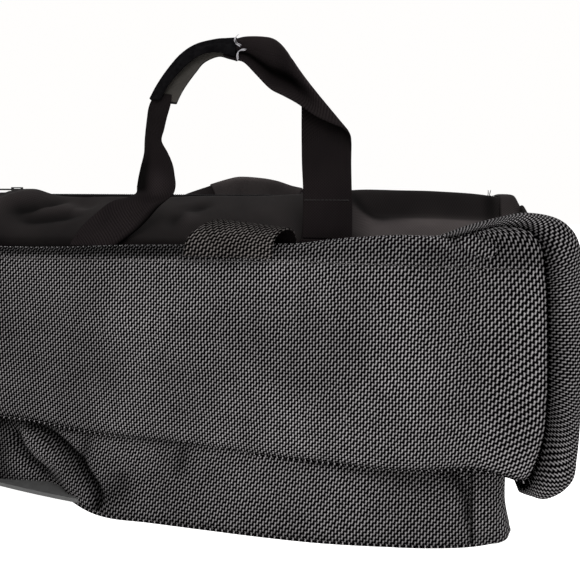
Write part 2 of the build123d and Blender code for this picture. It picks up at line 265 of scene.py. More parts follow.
def stitches(line, outward, pitch=STITCH, radius=0.32):
    """Thread lying along a line of points: each stitch rises out of the cloth and dives back in."""
    line = [Vector(p) for p in line]
    outward = [Vector(n).normalized() for n in outward]
    lengths = [0.0]
    for a, b in zip(line, line[1:]):
        lengths.append(lengths[-1] + (b - a).length)

    def at(distance):
        i = min(max(int(np.searchsorted(lengths, distance)) - 1, 0), len(line) - 2)
        t = (distance - lengths[i]) / max(lengths[i + 1] - lengths[i], 1e-6)
        return line[i].lerp(line[i + 1], t), outward[i].lerp(outward[i + 1], t)

    shapes = []
    for k in range(int(lengths[-1] / pitch)):
        start = k * pitch
        path = []
        for share, lift in ((0.0, -0.5), (0.15, 0.12), (0.5, 0.3), (0.75, 0.12), (0.86, -0.5)):
            spot, normal = at(start + share * pitch)
            path.append(spot + normal * lift)
        shapes.append(tube(path, radius, 5))
    return shapes


def ribbon(name, stations, place, material, body, slot, replaces=(), width=32.0, across=12, along=90,
           thickness=WEBBING, levels=1, shade=None):
    """Webbing through stations of (edge a, edge b, depth at a, in the middle, at b).

    place(x, v, w) turns a station's point into the bag's millimetres."""
    tracks = tracks_of([(*a, *b, *depths) for a, b, *depths in stations])
    last = len(stations) - 1

    def point(u, v):
        ax, av, bx, bv, depth_a, middle, depth_b = (track(v * last) for track in tracks)
        edge = depth_a + u * (depth_b - depth_a)
        depth = edge + (middle - (depth_a + depth_b) / 2) * math.sin(math.pi * u) ** 1.3
        spot = place(ax + u * (bx - ax), av + u * (bv - av), depth)
        return (*spot, shade(u, v * last)) if shade else spot

    verts, faces, uvs, painted_light_and_wear = grid(across, along, point)
    uvs = [((k % (across + 1)) / across * width * MM, uv[1]) for k, uv in enumerate(uvs)]
    return add_object(name, verts, faces, uvs, material, body, slot, replaces, thickness, levels, 0.0, painted_light_and_wear)


def box_stitches(corners, outward):
    """A sewn box with a cross in it, between four corners."""
    a, b, c, d = (Vector(p) for p in corners)
    shapes = []
    for start, end in ((a, b), (b, c), (c, d), (d, a), (a, c), (b, d)):
        shapes.extend(stitches([start, end], [outward, outward]))
    return shapes


# ---------------------------------------------------------------- materials

def new_material(name, roughness, specular=0.5):
    material = bpy.data.materials.new(name)
    material.use_nodes = True
    tree = material.node_tree
    shader = tree.nodes["Principled BSDF"]
    shader.inputs["Roughness"].default_value = roughness
    shader.inputs["Specular IOR Level"].default_value = specular
    return material, tree, shader


def math_node(tree, operation, first, second=0.0):
    node = tree.nodes.new("ShaderNodeMath")
    node.operation = operation
    for socket, value in zip(node.inputs, (first, second)):
        if isinstance(value, (int, float)):
            socket.default_value = value
        else:
            tree.links.new(value, socket)
    return node.outputs[0]


def times(tree, first, second):
    return math_node(tree, "MULTIPLY", first, second)


def plus(tree, first, second):
    return math_node(tree, "ADD", first, second)


def minus(tree, first, second):
    return math_node(tree, "SUBTRACT", first, second)


def cloth_axes(tree, wobble=0.0):
    """The two cloth coordinates in millimetres, with a slight wobble of the threads."""
    where = tree.nodes.new("ShaderNodeUVMap")
    where.uv_map = "cloth"
    split = tree.nodes.new("ShaderNodeSeparateXYZ")
    tree.links.new(where.outputs[0], split.inputs[0])
    u = times(tree, split.outputs[0], 1 / MM)
    v = times(tree, split.outputs[1], 1 / MM)
    if wobble:
        field = cloud(tree, 0.09, detail=1.0)
        shift = times(tree, minus(tree, field, 0.5), wobble)
        u = plus(tree, u, shift)
        v = plus(tree, v, shift)
    return u, v


def cloud(tree, per_mm, detail=3.0):
    """Soft noise over the object, in features of about 1 / per_mm millimetres."""
    spot = tree.nodes.new("ShaderNodeTexCoord")
    field = tree.nodes.new("ShaderNodeTexNoise")
    field.inputs["Scale"].default_value = per_mm / MM
    field.inputs["Detail"].default_value = detail
    tree.links.new(spot.outputs["Object"], field.inputs["Vector"])
    return field.outputs["Fac"]


def colour_ramp(tree, value, stops):
    ramp = tree.nodes.new("ShaderNodeValToRGB")
    tree.links.new(value, ramp.inputs[0])
    points = ramp.color_ramp.elements
    while len(points) < len(stops):
        points.new(0.5)
    for point, (place, colour) in zip(points, stops):
        point.position = place
        point.color = (*colour, 1.0)
    return ramp.outputs[0]


def add_bump(tree, shader, height, distance, strength=1.0):
    bump = tree.nodes.new("ShaderNodeBump")
    bump.inputs["Strength"].default_value = strength
    bump.inputs["Distance"].default_value = distance * MM
    tree.links.new(height, bump.inputs["Height"])
    tree.links.new(bump.outputs[0], shader.inputs["Normal"])


def times_painted_light_and_wear(tree, base):
    """base colour times the painted light and wear stored on the mesh."""
    stored = tree.nodes.new("ShaderNodeAttribute")
    stored.attribute_name = "painted_light_and_wear"
    return tint(tree, base, stored.outputs["Fac"])


def tint(tree, base, shade):
    """base colour times a shade value."""
    mix = tree.nodes.new("ShaderNodeMix")
    mix.data_type = "RGBA"
    mix.blend_type = "MULTIPLY"
    mix.inputs[0].default_value = 1.0
    tree.links.new(base, mix.inputs[6])
    tree.links.new(shade, mix.inputs[7])
    return mix.outputs[2]


def make_weave(name, dark, light, shade, wobble=1.6):
    """Basket weave: bright upright floats in staggered columns, linked to each other, with dark gaps."""
    material, tree, shader = new_material(name, 0.62, specular=0.0)
    u, v = cloth_axes(tree, wobble)
    across = times(tree, u, 1 / COARSE_PITCH)
    along = times(tree, v, 1 / COARSE_PITCH)
    links = math_node(tree, "COSINE", times(tree, minus(tree, across, along), math.pi))
    columns = math_node(tree, "COSINE", times(tree, across, 2 * math.pi))
    rows = math_node(tree, "COSINE", times(tree, along, 2 * math.pi))
    rising = math_node(tree, "SINE", times(tree, plus(tree, across, along), math.pi))
    upright = plus(tree, times(tree, columns, 0.50), times(tree, links, 0.44))
    crossing = minus(tree, times(tree, rising, 0.10), times(tree, rows, 0.24))
    checker = plus(tree, upright, crossing)
    cell = tree.nodes.new("ShaderNodeCombineXYZ")
    tree.links.new(math_node(tree, "FLOOR", across), cell.inputs[0])
    tree.links.new(math_node(tree, "FLOOR", along), cell.inputs[1])
    each = tree.nodes.new("ShaderNodeTexWhiteNoise")
    tree.links.new(cell.outputs[0], each.inputs["Vector"])
    uneven = times(tree, minus(tree, each.outputs["Value"], 0.5), 0.08)
    half = plus(tree, times(tree, checker, 0.5), 0.5)
    bright = plus(tree, half, uneven)
    # Painted sheen and shade: the floats are painted bright where light would catch them, and the gaps
    # between them are painted dark.
    tones = [(0.42, 0.0), (0.54, 0.08), (0.70, 0.46), (0.88, 1.0)]
    weave_sheen_and_shade = colour_ramp(tree, bright, [(spot, tuple(d + tone * (l - d) for d, l in zip(dark, light)))
                                       for spot, tone in tones])
    # Random darker patches over the cloth.
    painted_light_and_wear = colour_ramp(tree, cloud(tree, 0.014, 4.0), [(0.3, (shade, shade, shade)), (0.7, (1.0, 1.0, 1.0))])
    tree.links.new(times_painted_light_and_wear(tree, tint(tree, weave_sheen_and_shade, painted_light_and_wear)), shader.inputs["Base Color"])
    filament = math_node(tree, "SINE", times(tree, u, 2 * math.pi / 0.38))
    lifted = plus(tree, math_node(tree, "ABSOLUTE", checker), times(tree, checker, 0.4))
    height = plus(tree, lifted, times(tree, filament, 0.05))
    add_bump(tree, shader, height, 0.45, 0.9)
    return material


def make_fine_cloth(name, pitch, dark, light, roughness, bump, specular=0.06, ribs=0.0):
    """A fine even weave, seen mostly as a soft grain."""
    material, tree, shader = new_material(name, roughness, specular=specular)
    u, v = cloth_axes(tree, wobble=0.8)
    su = math_node(tree, "SINE", times(tree, u, math.pi / pitch))
    sv = math_node(tree, "SINE", times(tree, v, math.pi / pitch))
    checker = times(tree, su, sv)
    # Painted sheen and shade: the thread crossings are painted lighter and the gaps between them darker.
    half = plus(tree, times(tree, checker, 0.5), 0.5)
    weave_sheen_and_shade = colour_ramp(tree, half, [(0.0, dark), (1.0, light)])
    # Random darker patches over the cloth.
    painted_light_and_wear = colour_ramp(tree, cloud(tree, 0.03, 5.0), [(0.3, (0.7, 0.69, 0.7)), (0.7, (1.1, 1.08, 1.06))])
    tree.links.new(times_painted_light_and_wear(tree, tint(tree, weave_sheen_and_shade, painted_light_and_wear)), shader.inputs["Base Color"])
    height = math_node(tree, "ABSOLUTE", checker)
    if ribs:
        rib = math_node(tree, "ABSOLUTE", math_node(tree, "SINE", times(tree, u, math.pi / ribs)))
        height = plus(tree, height, rib)
    add_bump(tree, shader, height, bump, 0.8)
    return material


def make_plain(name, colour, roughness, grain, bump, metallic=0.0, specular=0.3):
    """Moulded, coated or painted surface with a little grain and dusty patches."""
    material, tree, shader = new_material(name, roughness, specular=specular)
    shader.inputs["Metallic"].default_value = metallic
    field = cloud(tree, grain, 6.0)
    dusty = tuple(min(1.0, 1.5 * c + 0.0015) for c in colour)
    tree.links.new(colour_ramp(tree, field, [(0.35, colour), (0.75, dusty)]), shader.inputs["Base Color"])
    rough = plus(tree, times(tree, field, 0.25), roughness - 0.12)
    tree.links.new(rough, shader.inputs["Roughness"])
    add_bump(tree, shader, field, bump, 0.4)
    return material


COARSE = make_weave("coarse_nylon", (0.0008, 0.0006, 0.0008), (0.250, 0.240, 0.245), 0.60)
TAB_WEAVE = make_weave("tab_weave", (0.0010, 0.0008, 0.0008), (0.120, 0.110, 0.106), 0.55, wobble=0.9)
FINE = make_fine_cloth("fine_nylon", 0.85, (0.0025, 0.0020, 0.0020), (0.0132, 0.0117, 0.0117), 0.58, 0.08,
                       specular=0.008)
WEB = make_fine_cloth("webbing", 0.95, (0.0015, 0.0011, 0.0012), (0.0090, 0.0075, 0.0078), 0.6, 0.16,
                      specular=0.004, ribs=1.3)
TAPE = make_fine_cloth("zipper_tape", 0.7, (0.002, 0.002, 0.002), (0.008, 0.007, 0.007), 0.7, 0.1,
                       specular=0.005)
BINDING = make_fine_cloth("binding_tape", 0.9, (0.002, 0.002, 0.002), (0.011, 0.010, 0.010), 0.7, 0.15,
                          specular=0.008)
SLEEVE = make_plain("grip_sleeve", (0.0008, 0.0007, 0.0009), 0.4, 0.3, 0.05, specular=0.012)
LINING = make_fine_cloth("grip_lining", 0.45, (0.003, 0.003, 0.003), (0.046, 0.043, 0.038), 0.6, 0.1)
THREAD = make_plain("thread", (0.014, 0.013, 0.013), 0.6, 2.0, 0.05, specular=0.05)
WEAVE_THREAD = make_plain("weave_thread", (0.034, 0.032, 0.032), 0.6, 2.0, 0.05, specular=0.05)
PALE_THREAD = make_plain("pale_thread", (0.16, 0.155, 0.165), 0.6, 2.0, 0.05)
COIL = make_plain("zipper_coil", (0.004, 0.004, 0.0045), 0.6, 1.0, 0.03, specular=0.01)
METAL = make_plain("slider_metal", (0.006, 0.006, 0.006), 0.5, 0.8, 0.03, specular=0.15)
BOARD = make_plain("board", (0.03, 0.03, 0.03), 0.6, 0.5, 0.05)
HOOK = make_plain("hook_tape", (0.008, 0.008, 0.008), 0.8, 1.5, 0.4)
LOOP = make_plain("loop_tape", (0.012, 0.012, 0.012), 0.9, 1.2, 0.5)


# ---------------------------------------------------------------- the bag's body

floor_front = curve([
    (-190, -55), (-163, -56.5), (-129, -55.5), (-113, -59.5), (-102, -68), (-89, -76), (-77, -81.5),
    (-68, -84), (-35, -85), (0, -86), (40, -87), (80, -86.5), (118, -83), (148, -79), (175, -72), (190, -65)])
SEAM_FRONT_Y = -57.0
TOPSTITCH = curve([(-220, 172), (-60, 172), (40, 174), (190, 176.5)])
POCKET_PLAN = curve([(-214, -72), (-150, -62), (-60, -61), (20, -63), (90, -70), (150, -80), (205, -90)])
POCKET_EDGE = curve([
    (-214, 184), (-146, 179.5), (-100, 180), (-60, 182), (-16, 183), (31, 185), (63, 186), (82, 189),
    (100, 191), (123, 193), (146, 193.5), (162, 197), (175, 201), (190, 203), (207, 203)])
POCKET_FOOT = curve([
    (-214, 56), (-134, 54), (-111, 51), (-81, 48), (-43, 47), (-6, 45), (36, 44), (84, 45),
    (128, 48), (152, 52), (171, 56), (186, 55), (207, 51)])
panel_right = curve([
    (44, 197), (51, 199.5), (56, 201.5), (62, 203), (70, 205), (82, 207), (105, 207), (139, 205),
    (166, 202.5), (181, 200.5), (190, 198.5), (196, 195), (199.5, 190), (202, 181), (205, 172)])
half_length = curve([
    (0, 199.5), (5, 199.8), (12, 198), (21, 196), (35, 195.3), (55, 196.5), (184, 204.5), (215, 205)])
crest_z = curve([
    (-204, 206), (-190, 212), (-183, 214.5), (-176, 216.5), (-155, 217), (-147, 214.5), (-135, 212.6),
    (-87, 212.4), (-50, 212), (-22, 213), (40, 214), (70, 216), (95, 218), (122, 218), (149, 217),
    (175, 215), (187, 213), (198, 211), (204, 206)])


def front_wall_y(x, z):
    """Front wall: a flat upper part, and a lower part that swells out to the floor."""
    if z > SEAM_Z:
        return SEAM_FRONT_Y + (z - SEAM_Z) / (FRONT_RIM_Z - SEAM_Z) * (FRONT_RIM_Y - SEAM_FRONT_Y)
    t = 1 - z / SEAM_Z
    return SEAM_FRONT_Y + (floor_front(x) - SEAM_FRONT_Y) * (t ** 0.85)


def roof_z(y):
    if y < ZIP_Y - 8:
        share = (y - FRONT_RIM_Y) / (ZIP_Y - 8 - FRONT_RIM_Y)
        return FRONT_RIM_Z + share * (RIDGE_Z - FRONT_RIM_Z)
    if y > ZIP_Y + 8:
        share = (y - ZIP_Y - 8) / (BACK_Y - ZIP_Y - 8)
        return RIDGE_Z + share * (BACK_RIM_Z - RIDGE_Z)
    return RIDGE_Z


def end_outline(sign, z):
    """Plan of one end panel at one height, from its front seam round both corners to its back seam."""
    half = half_length(z)
    radius = CORNER_RADIUS
    front = front_wall_y(sign * (half - radius), z)
    points = [(END_SEAM_X, front_wall_y(sign * END_SEAM_X, z))]
    for k in range(7):
        angle = math.pi / 2 * k / 6
        points.append((half - radius + radius * math.sin(angle), front + radius - radius * math.cos(angle)))
    for k in range(7):
        angle = math.pi / 2 * k / 6
        points.append((half - radius + radius * math.cos(angle), BACK_Y - radius + radius * math.sin(angle)))
    points.append((END_SEAM_X, BACK_Y))
    return [(sign * x, y) for x, y in points]


def along_line(points, share):
    lengths = running_length(points)
    target = share * lengths[-1]
    i = min(max(int(np.searchsorted(lengths, target)) - 1, 0), len(points) - 2)
    t = (target - lengths[i]) / max(lengths[i + 1] - lengths[i], 1e-6)
    a, b = points[i], points[i + 1]
    return a[0] + t * (b[0] - a[0]), a[1] + t * (b[1] - a[1])


def seam_dip(distance, depth=2.2, reach=6.0):
    """How far the cloth turns in beside a seam."""
    return depth * math.exp(-(distance / reach) ** 2)


def make_front_panel():
    def place(u, v):
        x = -END_SEAM_X + 2 * END_SEAM_X * u
        z = 0.6 + v * (FRONT_RIM_Z - 1.0)
        y = front_wall_y(x, z)
        low = (1 - ease(SEAM_Z - 8, SEAM_Z + 4, z)) * ease(0, 7, z)
        groove = crease(x, z, [(-140, 55), (-115, 37), (-95, 26), (-78, 13), (-70, 1)], 4.5, 0.12)
        groove_core = crease(x, z, [(-140, 55), (-115, 37), (-95, 26), (-78, 13), (-72, 1)], 5.0, 0.05)
        far_fold = crease(x, z, [(-152, 52), (-148, 32), (-139, 19), (-118, 4)], 5.0, 0.2)
        pucker = crease(x, z, [(158, 54), (162, 42), (167, 35), (170, 24), (171, 8)], 3.2, 0.15)
        short_left = crease(x, z, [(-91, 52), (-91, 38), (-94, 24)], 4.0)
        short_mid = crease(x, z, [(-18, 49), (-18, 38), (-20, 26)], 4.0)
        broad = crease(x, z, [(-62, 30), (-58, 18), (-74, 6)], 9.0)
        y -= low * 1.6 * wave(x, z, 45, 3.1)
        y -= low * 5.0 * crease(x, z, [(-146, 48), (-128, 30), (-110, 18), (-98, 4)], 8.0, 0.2)
        y += low * (9.0 * groove + 7.0 * far_fold + 3.5 * pucker + 2.5 * short_left + 2.0 * short_mid)
        y += low * 3.0 * broad
        y -= low * 1.5 * crease(x, z, [(150, 46), (156, 34), (160, 20)], 4.0)
        y += seam_dip(END_SEAM_X - abs(x)) + seam_dip(z, 1.2, 3.0)
        # Painted shade: darker in the creases and grooves of the lower wall, towards the far left end, under
        # the pocket's seam and near the floor. It is also darker along the end seams, and the whole wall is a
        # little darker; the wave adds random tone.
        painted_light_and_wear = 1.0 - 0.93 * groove_core - 0.75 * far_fold - 0.6 * pucker - 0.4 * short_left - 0.45 * short_mid
        painted_light_and_wear *= (1 - 0.5 * broad) * (1 - 0.75 * (1 - ease(-166, -142, x))) * (1 + 0.10 * wave(x, z, 40, 5.5))
        painted_light_and_wear *= 1 - 0.9 * math.exp(-((END_SEAM_X - abs(x)) / 1.6) ** 2)
        painted_light_and_wear *= (0.3 + 0.7 * (1 - ease(SEAM_Z - 7, SEAM_Z, z))) * (0.7 + 0.3 * ease(0, 7, z))
        return x, y, z, max(0.80 * painted_light_and_wear, 0.08)
    cloth("front_cloth", 130, 66, place, COARSE, "bag", "coarse_nylon", ["front_panel"])


def make_end_panels():
    for side, sign in (("left", -1), ("right", 1)):
        def place(u, v, sign=sign):
            low = 0.6
            _, edge_y = along_line(end_outline(sign, FRONT_RIM_Z), u)
            z = low + v * (roof_z(min(max(edge_y, FRONT_RIM_Y), BACK_Y)) - end_dip(edge_y) - 1.2 - low)
            x, y = along_line(end_outline(sign, z), u)
            middle = math.sin(math.pi * u) ** 0.5 if 0 < u < 1 else 0.0
            bulge = 3.0 * middle * math.sin(math.pi * min(v * 1.05, 1.0))
            x += sign * (bulge - 3.0 + 1.5 * wave(y, z, 50, 7.0 + sign))
            x -= sign * seam_dip((1 - v) * 190, 1.5, 5.0)
            # Painted shade near the floor, and the end is darker overall; it is also darker at its front and
            # back seams.
            painted_light_and_wear = 0.25 + 0.75 * ease(0.0, 0.012, min(u, 1 - u))
            painted_light_and_wear *= 0.65 + 0.2 * ease(0, 12, z)
            return x, y + 1.2 * (1 - middle) * (1 if u < 0.5 else -1), z, painted_light_and_wear
        cloth(f"end_cloth_{side}", 56, 54, place, COARSE, "bag", "coarse_nylon",
              [f"end_panel_{side}"], flip=sign > 0)


def make_back_panel():
    def place(u, v):
        x = END_SEAM_X - 2 * END_SEAM_X * u
        z = 0.6 + v * (BACK_RIM_Z - 1.0)
        y = BACK_Y - 1.0 + 1.4 * wave(x, z, 70, 5.5) - 0.6
        y -= seam_dip(END_SEAM_X - abs(x), 1.6) + seam_dip(BACK_RIM_Z - z, 1.2, 4.0) + seam_dip(z, 1.0, 3.0)
        return x, y, z
    cloth("back_cloth", 90, 54, place, COARSE, "bag", "coarse_nylon", ["back_panel"])


def make_bottom():
    def place(u, v):
        x = -BASE_X + 2 * BASE_X * u
        inset = max(0.0, abs(x) - (BASE_X - CORNER_RADIUS))
        round_in = CORNER_RADIUS - math.sqrt(max(CORNER_RADIUS ** 2 - inset ** 2, 0.0))
        front = floor_front(x) + round_in + 1.0
        back = BACK_Y - 1.0 - round_in
        return x, front + v * (back - front), 0.05
    cloth("bottom_cloth", 90, 30, place, COARSE, "bag", "coarse_nylon", ["bottom_panel"],
          offset=1.0, levels=0)


# ---------------------------------------------------------------- top

def end_dip(y):
    """How far the top edge of an end panel sinks below the zipper's end tab."""
    return 7.0 * math.exp(-((y - ZIP_Y) / 15.0) ** 2)


def gusset_front_point(x, share):
    """Front half of the top, from the front wall's edge up over a soft crest to the zipper tape."""
    y = FRONT_RIM_Y - TOP_OVERHANG + share * (ZIP_Y - ZIP_GAP - FRONT_RIM_Y + TOP_OVERHANG)
    foot = FRONT_RIM_Z + TOP_LIFT
    top = crest_z(x)
    t = min(share / 0.86, 1.0)
    right = ease(84, 108, x)
    shelf = 0.44 * ease(0.0, 0.75, t) + 0.56 * ease(0.72, 1.0, t)
    slope = t + 0.10 * math.sin(math.pi * t)
    z = foot + (top - foot) * (right * shelf + (1 - right) * slope)
    z -= (top - RIDGE_Z - 0.6) * ease(0.88, 1.0, share)
    left = 1 - ease(-90, -40, x)
    near_valley = crease(x, y, [(-165, -29), (-150, -21), (-138, -15), (-120, -9)], 5.5)
    low_valley = crease(x, y, [(-158, -31), (-137, -31), (-118, -27), (-98, -25)], 4.5)
    ridge = crease(x, y, [(-186, -27), (-170, -19), (-154, -9), (-138, 0)], 7.0)
    ridge_right = crease(x, y, [(-144, -21), (-130, -18), (-114, -14)], 6.0)
    spot = crease(x, y, [(-114, -20), (-107, -21), (-100, -19)], 4.5)
    shade_right = crease(x, y, [(84, -2), (90, -8), (98, -14), (112, -17), (130, -17)], 5.0)
    tab_shadow = math.exp(-((x - 181) / 5.0) ** 2) * ease(0.35, 0.8, share)
    z += left * 1.2 * wave(x, y, 34, 2.0) * math.sin(math.pi * share)
    z += left * (4.0 * ridge + 2.0 * ridge_right + 1.0 * spot - 4.0 * near_valley - 3.5 * low_valley)
    z -= left * 2.5 * crease(x, y, [(-124, -4), (-108, -12), (-98, -18)], 5.5)
    soft = crease(x, y, [(-34, -38), (-26, -22), (-6, -12)], 5.0)
    sheen = crease(x, y, [(-30, -18), (-22, -30), (-14, -38)], 6.0)
    z += 2.5 * sheen - 2.5 * soft
    z += 0.7 * wave(x, y, 28, 9.0) * math.sin(math.pi * share)
    z -= ease(190, RIM_X, abs(x)) * (3.0 + end_dip(y))
    # Painted light: the ridges and the sheen fold are painted lighter, and the valleys and the soft fold
    # darker. The up-facing shelf at the right gets a painted highlight, and the steep band above it and the
    # creases there get painted shade. There is a painted shadow beside the end tab and painted shade along
    # the front rim. The cloth is darker at the far left by the zipper, and the waves add random tone.
    painted_light_and_wear = 1.0 + left * (0.7 * ridge + 0.6 * ridge_right + 0.5 * spot - 0.85 * near_valley - 0.7 * low_valley)
    painted_light_and_wear += 0.6 * sheen - 0.7 * soft
    shelf_highlight = right * (1 - ease(0.60, 0.78, t))
    painted_light_and_wear *= (1 + 2.0 * shelf_highlight * (1 - ease(0, 0.2, 0.25 - share))) * (1 - 0.75 * shade_right)
    painted_light_and_wear *= (1 - 0.75 * tab_shadow) * (1 - 0.25 * right * (1 - shelf_highlight))
    painted_light_and_wear *= (0.8 + 0.2 * ease(0.02, 0.2, share)) * (1 - 0.35 * ease(-150, -205, x) * ease(0.6, 0.9, share))
    painted_light_and_wear *= 1 + 0.16 * wave(x, y, 22, 7.7) + 0.22 * wave(x, y, 52, 3.3)
    return x, y, z, max(painted_light_and_wear, 0.1)


def make_gussets():
    def front(u, v, lip=TOP_LIP):
        x = -RIM_X + 1 + 2 * (RIM_X - 1) * u
        if v >= lip:
            return gusset_front_point(x, (v - lip) / (1 - lip))
        _, y, z, painted_light_and_wear = gusset_front_point(x, 0.0)
        down = 1 - v / lip
        # The lip turning down over the wall is painted darker: painted shade.
        return x, y - 0.7 * down, z - 7.5 * down, painted_light_and_wear * 0.8

    def back(u, v, lip=TOP_LIP):
        x = -RIM_X + 1 + 2 * (RIM_X - 1) * u
        down = max(0.0, (v - 1 + lip) / lip)
        v = min(v / (1 - lip), 1.0)
        y = ZIP_Y + ZIP_GAP + v * (BACK_Y + 0.6 - ZIP_Y - ZIP_GAP)
        arch = math.sin(math.pi * v)
        z = roof_z(y) + TOP_LIFT - 3.5 * arch + 1.2 * wave(x, y, 38, 4.0) * arch
        z -= ease(190, RIM_X, abs(x)) * (3.0 + end_dip(y)) + 6.0 * down
        return x, y, z

    cloth("top_cloth_front", 150, 24, front, FINE, "bag", "fine_nylon", ["top_gusset_front"], thickness=1.0)
    cloth("top_cloth_back", 120, 18, back, FINE, "bag", "fine_nylon", ["top_gusset_back"], thickness=1.0)


def make_zipper():
    for side, sign in (("front", -1), ("back", 1)):
        def tape(u, v, sign=sign):
            x = -ZIP_HALF - 3 + 2 * (ZIP_HALF + 3) * u
            y = ZIP_Y + sign * (0.9 + 7.5 * v)
            return x, y, RIDGE_Z - 0.1
        cloth(f"tape_cloth_{side}", 120, 4, tape, TAPE, "bag", "zipper_tape", [f"zipper_tape_{side}"],
              thickness=0.7, levels=0, flip=sign > 0)
        shapes = []
        pitch = 1.6
        count = int(2 * ZIP_HALF / pitch)
        for k in range(count):
            x = -ZIP_HALF + pitch * (k + (0.25 if sign > 0 else 0.75))
            near = ZIP_Y - sign * 0.1
            far = ZIP_Y + sign * 2.7
            path = [(x, far, RIDGE_Z + 0.35), (x, far + sign * 0.2, RIDGE_Z + 1.1),
                    (x, (near + far) / 2, RIDGE_Z + 1.65), (x, near, RIDGE_Z + 1.3),
                    (x, near - sign * 0.25, RIDGE_Z + 0.8), (x, near, RIDGE_Z + 0.35)]
            shapes.append(tube(path, 0.36, 5))
        join_shapes(f"coil_{side}", shapes, COIL, "bag", "zipper_coil", [f"zipper_coil_{side}"])
    for side, sign in (("left", -1), ("right", 1)):
        def tab(u, v, sign=sign):
            x = TAB_START + TAB_LENGTH * u
            y = ZIP_Y - TAB_FRONT + TAB_DEPTH * v
            crown = RIDGE_Z + 2.8 - 3.4 * abs(1.25 * v - 0.75) ** 3 - 13.0 * (1 - ease(0.0, 0.42, v)) ** 1.5
            z = crown - 12.0 * ease(0.50, 1.0, u) ** 1.3 + 0.5 * wave(x, y, 9, 6.6)
            z -= 1.8 * (1 - ease(0.0, 0.08, u))
            # Painted shade at the tab's inner edge and where it falls away at its end; the tab is otherwise
            # lighter than the top cloth.
            return sign * x, y, z, (0.5 + 0.9 * ease(0.02, 0.10, u)) * (1 - 0.4 * ease(0.75, 1.0, u))
        cloth(f"tab_cloth_{side}", 20, 20, tab, FINE, "bag", "fine_nylon", [f"zipper_end_tab_{side}"],
              thickness=1.6, flip=sign < 0)
    stub = [tube([(180.0 + dx, 1.0, RIDGE_Z + 1.0), (180.4 + dx, 0.6, RIDGE_Z + 3.5),
                  (180.0 + 2 * dx, 0.2, RIDGE_Z + 6)], 0.35, 5) for dx in (0.0, 0.9)]
    join_shapes("thread_stub", stub, THREAD, "bag", "thread", levels=1)


# ---------------------------------------------------------------- pocket

def pocket_y(x, share):
    """Depth of the pocket's front panel: slightly full, its hem leaning back away from the right end."""
    lean = 3.2 * (1 - ease(60, 190, x)) * (1 - ease(-150, -214, x))
    y = POCKET_PLAN(x) - 1.2 * math.sin(math.pi * share) + lean * share ** 2.2
    y += 1.6 * wave(x, share * 130, 75, 1.3) + 0.7 * wave(x, share * 130, 34, 6.1)
    return y


def pocket_point(x, share):
    foot, edge = POCKET_FOOT(x), POCKET_EDGE(x)
    z = foot + share * (edge - foot)
    y = pocket_y(x, share)
    y += seam_dip(z - foot, 2.4, 4.0)
    y += 0.8 * math.exp(-((TOPSTITCH(x) - z) / 2.2) ** 2)
    roll = min(max((z - edge + 6) / 6, 0.0), 1.0)
    y += 4.5 * (1 - math.sqrt(1 - 0.98 * roll * roll))
    hem_groove = crease(x, z, [(150, 198), (158, 193), (166, 188), (180, 183)], 4.5)
    hem_fold = crease(x, z, [(132, 196), (140, 192), (147, 189), (158, 184)], 3.0)
    y += 4.5 * hem_groove - 3.0 * hem_fold
    y += 1.8 * crease(x, z, [(96, 150), (120, 128), (150, 112), (180, 104)], 16.0)
    y -= 1.6 * crease(x, z, [(-130, 160), (-80, 140), (-20, 128), (40, 126)], 18.0)
    # Painted shadow under the hem roll down to the topstitching and along the pocket's foot, painted shade in
    # the hem's groove and a painted highlight on its fold. There is also painted shade towards the left end,
    # and the waves add random tone.
    shadow = 0.80 - 0.52 * ease(-20, 110, x)
    painted_light_and_wear = 1 - shadow * ease(TOPSTITCH(x), TOPSTITCH(x) + 4, z) - 0.85 * math.exp(-((z - foot) / 2.0) ** 2)
    painted_light_and_wear *= (1 - 0.55 * hem_groove) * (1 + 0.25 * hem_fold)
    painted_light_and_wear *= 0.62 + 0.40 * ease(-170, 20, x)
    painted_light_and_wear *= 1 + 0.14 * wave(x, z, 55, 4.4) + 0.08 * wave(x, z, 18, 1.9)
    return x, y, z, max(painted_light_and_wear, 0.1)


def make_pocket():
    def panel(u, v):
        x = POCKET_LEFT + u * (POCKET_RIGHT - POCKET_LEFT)
        foot, edge = POCKET_FOOT(x), POCKET_EDGE(x)
        z = foot + v * (edge - foot)
        limit = panel_right(z)
        if x > POCKET_RIGHT - 60:
            x = POCKET_RIGHT - 60 + (x - POCKET_RIGHT + 60) * (limit - POCKET_RIGHT + 60) / 60
        x, y, z, painted_light_and_wear = pocket_point(x, v)
        y += seam_dip(limit - x, 3.0, 4.0) + seam_dip(x - POCKET_LEFT, 3.0, 4.0)
        # Darker along the seam with the end gusset.
        painted_light_and_wear *= 1 - 0.92 * math.exp(-((limit - x) / 1.7) ** 2)
        return x, y, z, painted_light_and_wear

    cloth("pocket_cloth", 160, 56, panel, COARSE, "bag", "coarse_nylon", ["pocket_panel"])

    def hem(u, v):
        x = POCKET_LEFT + 3 + u * (POCKET_RIGHT - 20 - POCKET_LEFT)
        edge = POCKET_EDGE(x)
        share = 1 - HEM_WIDTH * (1 - v) / (edge - POCKET_FOOT(x))
        y = pocket_y(x, min(share, 1.0)) + FABRIC + 1.2 + 2.0 * ease(0.5, 1.0, v)
        return x, y, edge - HEM_WIDTH * (1 - v) - 0.4

    cloth("hem_cloth", 120, 10, hem, COARSE, "bag", "coarse_nylon", ["pocket_hem"], thickness=1.1, offset=1.0)

    def shelf(u, v):
        x = POCKET_LEFT + 2 + u * (POCKET_RIGHT - POCKET_LEFT - 4)
        front = POCKET_PLAN(x) + 2.0
        back = SEAM_FRONT_Y - 0.4 + 12.0 * ease(168, 186, abs(x))
        return x, front + v * (back - front), POCKET_FOOT(x) + 0.6
    cloth("shelf_cloth", 100, 6, shelf, COARSE, "bag", "coarse_nylon", ["pocket_bottom_gusset"],
          thickness=1.2)


WING_FOOT = 50.0

